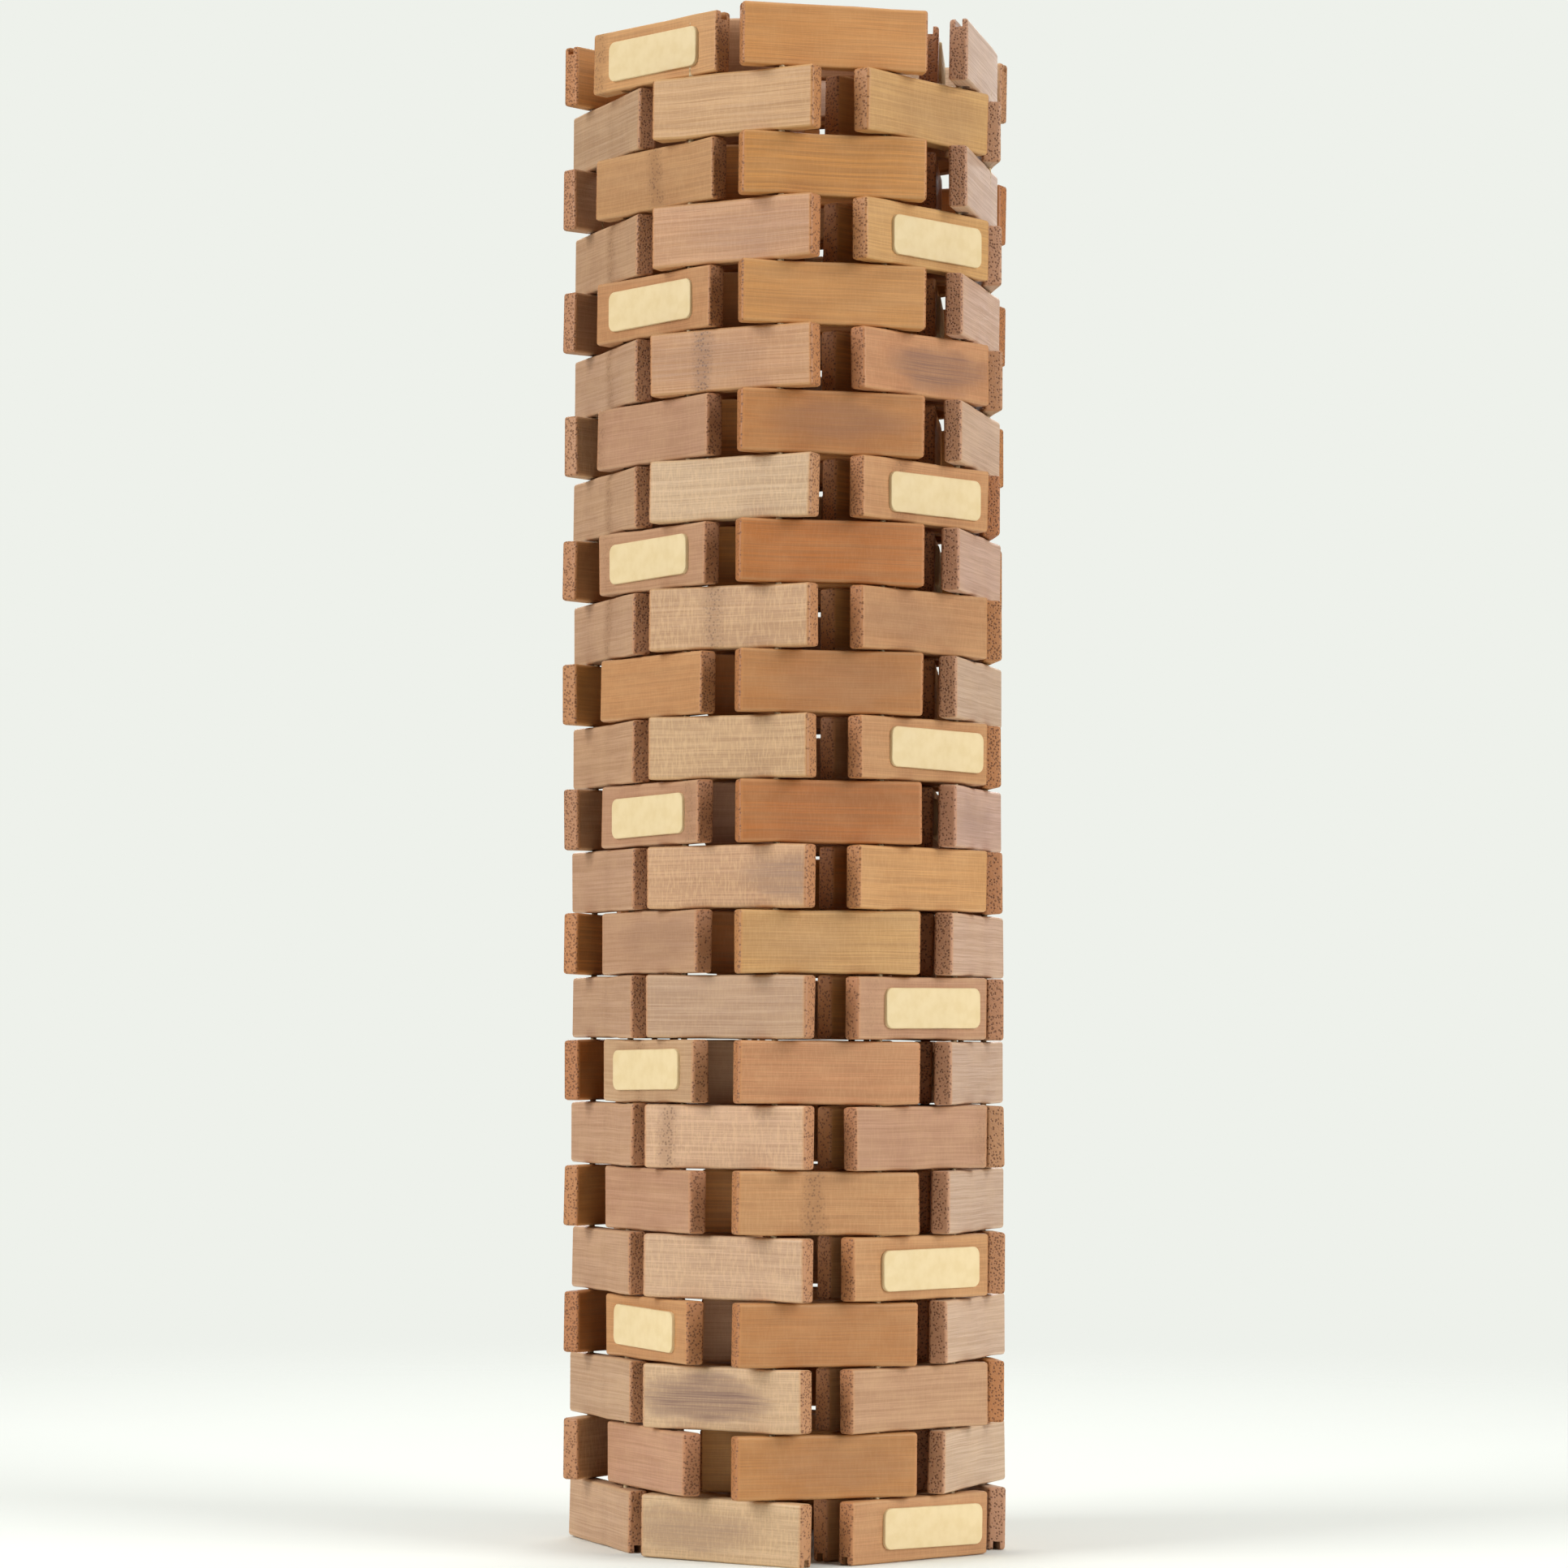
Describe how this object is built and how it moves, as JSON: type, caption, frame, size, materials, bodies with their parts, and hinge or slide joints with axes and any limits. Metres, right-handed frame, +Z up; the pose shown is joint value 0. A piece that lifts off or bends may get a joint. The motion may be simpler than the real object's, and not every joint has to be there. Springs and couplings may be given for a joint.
{
  "type": "roll-up bamboo mat",
  "caption": "Rolled-up bath mat of bamboo blocks strung on one cord in overlapping rows, with small anti-slip pads; it unrolls to a flat panel.",
  "frame": {"origin": "centre of the rolled mat's plan, on the surface it stands on", "axes": "+Z up the roll, along the cord runs, from the bottom row of blocks to the top row; -Y is the side with the widest unbroken faces"},
  "size_m": [0.1172, 0.1146, 0.4024],
  "materials": {
    "bamboo": "bamboo blocks, planed and sanded, satin, each of its own tone",
    "pads": "matt pale-yellow foam rubber",
    "cord": "round braided cord, natural"
  },
  "bodies": {
    "outer_end": {"end_slats_outer": "bamboo", "cord_end_outer": "cord", "knot_outer": "cord"},
    "link_00": {"slats_00": "bamboo", "cord_bridge_00": "cord"},
    "link_01": {"slats_01": "bamboo", "cord_loop_01": "cord", "pads_01": "pads"},
    "link_02": {"slats_02": "bamboo", "cord_bridge_02": "cord"},
    "link_03": {"slats_03": "bamboo", "cord_loop_03": "cord"},
    "link_04": {"slats_04": "bamboo", "cord_bridge_04": "cord", "pads_04": "pads"},
    "link_05": {"slats_05": "bamboo", "cord_loop_05": "cord"},
    "link_06": {"slats_06": "bamboo", "cord_bridge_06": "cord"},
    "link_07": {"slats_07": "bamboo", "cord_loop_07": "cord", "pads_07": "pads"},
    "link_08": {"slats_08": "bamboo", "cord_bridge_08": "cord"},
    "link_09": {"slats_09": "bamboo", "cord_loop_09": "cord"},
    "link_10": {"slats_10": "bamboo", "cord_bridge_10": "cord", "pads_10": "pads"},
    "link_11": {"slats_11": "bamboo", "cord_loop_11": "cord"},
    "link_12": {"slats_12": "bamboo", "cord_bridge_12": "cord"},
    "link_13": {"slats_13": "bamboo", "cord_loop_13": "cord", "pads_13": "pads"},
    "link_14": {"slats_14": "bamboo", "cord_bridge_14": "cord"},
    "link_15": {"slats_15": "bamboo", "cord_loop_15": "cord"},
    "link_16": {"slats_16": "bamboo", "cord_bridge_16": "cord", "pads_16": "pads"},
    "link_17": {"slats_17": "bamboo", "cord_loop_17": "cord"},
    "link_18": {"slats_18": "bamboo", "cord_bridge_18": "cord"},
    "link_19": {"slats_19": "bamboo", "cord_loop_19": "cord", "pads_19": "pads"},
    "link_20": {"slats_20": "bamboo", "cord_bridge_20": "cord"},
    "inner_end": {"end_slats_inner": "bamboo", "cord_end_inner": "cord", "knot_inner": "cord"}
  },
  "joints": [
    {"name": "unroll", "type": "hinge", "parent": "link_10", "child": "link_09", "pos_m": [-0.03533, 0.03708, 0.2], "axis": [0, 0, -1], "range_deg": [0, 43]},
    {"name": "cord_line_00", "type": "hinge", "parent": "link_00", "child": "outer_end", "pos_m": [-0.00284, 0.05264, 0.2], "axis": [0, 0, -1], "range_deg": [0, 14]},
    {"name": "cord_line_01", "type": "hinge", "parent": "link_01", "child": "link_00", "pos_m": [0.02424, 0.04638, 0.2], "axis": [0, 0, -1], "range_deg": [0, 19]},
    {"name": "cord_line_02", "type": "hinge", "parent": "link_02", "child": "link_01", "pos_m": [0.04782, 0.03165, 0.2], "axis": [0, 0, -1], "range_deg": [0, 47]},
    {"name": "cord_line_03", "type": "hinge", "parent": "link_03", "child": "link_02", "pos_m": [0.05312, 0.00436, 0.2], "axis": [0, 0, -1], "range_deg": [0, 29]},
    {"name": "cord_line_04", "type": "hinge", "parent": "link_04", "child": "link_03", "pos_m": [0.04453, -0.02208, 0.2], "axis": [0, 0, -1], "range_deg": [0, 27]},
    {"name": "cord_line_05", "type": "hinge", "parent": "link_05", "child": "link_04", "pos_m": [0.02488, -0.04173, 0.2], "axis": [0, 0, -1], "range_deg": [0, 28]},
    {"name": "cord_line_06", "type": "hinge", "parent": "link_06", "child": "link_05", "pos_m": [-0.00171, -0.04986, 0.2], "axis": [0, 0, -1], "range_deg": [0, 49]},
    {"name": "cord_line_07", "type": "hinge", "parent": "link_07", "child": "link_06", "pos_m": [-0.02529, -0.03513, 0.2], "axis": [0, 0, -1], "range_deg": [0, 26]},
    {"name": "cord_line_08", "type": "hinge", "parent": "link_08", "child": "link_07", "pos_m": [-0.04002, -0.01156, 0.2], "axis": [0, 0, -1], "range_deg": [0, 9]},
    {"name": "cord_line_09", "type": "hinge", "parent": "link_09", "child": "link_08", "pos_m": [-0.05088, 0.01403, 0.2], "axis": [0, 0, -1], "range_deg": [0, 57]},
    {"name": "cord_line_11", "type": "hinge", "parent": "link_10", "child": "link_11", "pos_m": [-0.00825, 0.04334, 0.2], "axis": [0, 0, 1], "range_deg": [0, 30]},
    {"name": "cord_line_12", "type": "hinge", "parent": "link_11", "child": "link_12", "pos_m": [0.01834, 0.03521, 0.2], "axis": [0, 0, 1], "range_deg": [0, 27]},
    {"name": "cord_line_13", "type": "hinge", "parent": "link_12", "child": "link_13", "pos_m": [0.03834, 0.0159, 0.2], "axis": [0, 0, 1], "range_deg": [0, 49]},
    {"name": "cord_line_14", "type": "hinge", "parent": "link_13", "child": "link_14", "pos_m": [0.03688, -0.01187, 0.2], "axis": [0, 0, 1], "range_deg": [0, 40]},
    {"name": "cord_line_15", "type": "hinge", "parent": "link_14", "child": "link_15", "pos_m": [0.01792, -0.0322, 0.2], "axis": [0, 0, 1], "range_deg": [0, 52]},
    {"name": "cord_line_16", "type": "hinge", "parent": "link_15", "child": "link_16", "pos_m": [-0.00977, -0.02977, 0.2], "axis": [0, 0, 1], "range_deg": [0, 43]},
    {"name": "cord_line_17", "type": "hinge", "parent": "link_16", "child": "link_17", "pos_m": [-0.02837, -0.00911, 0.2], "axis": [0, 0, 1], "range_deg": [0, 39]},
    {"name": "cord_line_18", "type": "hinge", "parent": "link_17", "child": "link_18", "pos_m": [-0.02983, 0.01865, 0.2], "axis": [0, 0, 1], "range_deg": [0, 62]},
    {"name": "cord_line_19", "type": "hinge", "parent": "link_18", "child": "link_19", "pos_m": [-0.006, 0.03297, 0.2], "axis": [0, 0, 1], "range_deg": [0, 61]},
    {"name": "cord_line_20", "type": "hinge", "parent": "link_19", "child": "link_20", "pos_m": [0.01808, 0.01906, 0.2], "axis": [0, 0, 1], "range_deg": [0, 52]},
    {"name": "cord_line_21", "type": "hinge", "parent": "link_20", "child": "inner_end", "pos_m": [0.02194, -0.00846, 0.2], "axis": [0, 0, 1], "range_deg": [0, 21]}
  ],
  "couplings": [
    {"joint": "cord_line_00", "follows": "unroll", "ratio": 0.32558},
    {"joint": "cord_line_01", "follows": "unroll", "ratio": 0.44186},
    {"joint": "cord_line_02", "follows": "unroll", "ratio": 1.093},
    {"joint": "cord_line_03", "follows": "unroll", "ratio": 0.67441},
    {"joint": "cord_line_04", "follows": "unroll", "ratio": 0.6279},
    {"joint": "cord_line_05", "follows": "unroll", "ratio": 0.65116},
    {"joint": "cord_line_06", "follows": "unroll", "ratio": 1.1395},
    {"joint": "cord_line_07", "follows": "unroll", "ratio": 0.60465},
    {"joint": "cord_line_08", "follows": "unroll", "ratio": 0.2093},
    {"joint": "cord_line_09", "follows": "unroll", "ratio": 1.3256},
    {"joint": "cord_line_11", "follows": "unroll", "ratio": 0.69767},
    {"joint": "cord_line_12", "follows": "unroll", "ratio": 0.6279},
    {"joint": "cord_line_13", "follows": "unroll", "ratio": 1.1395},
    {"joint": "cord_line_14", "follows": "unroll", "ratio": 0.93023},
    {"joint": "cord_line_15", "follows": "unroll", "ratio": 1.2093},
    {"joint": "cord_line_16", "follows": "unroll", "ratio": 1},
    {"joint": "cord_line_17", "follows": "unroll", "ratio": 0.90697},
    {"joint": "cord_line_18", "follows": "unroll", "ratio": 1.4419},
    {"joint": "cord_line_19", "follows": "unroll", "ratio": 1.4186},
    {"joint": "cord_line_20", "follows": "unroll", "ratio": 1.2093},
    {"joint": "cord_line_21", "follows": "unroll", "ratio": 0.48837}
  ]
}
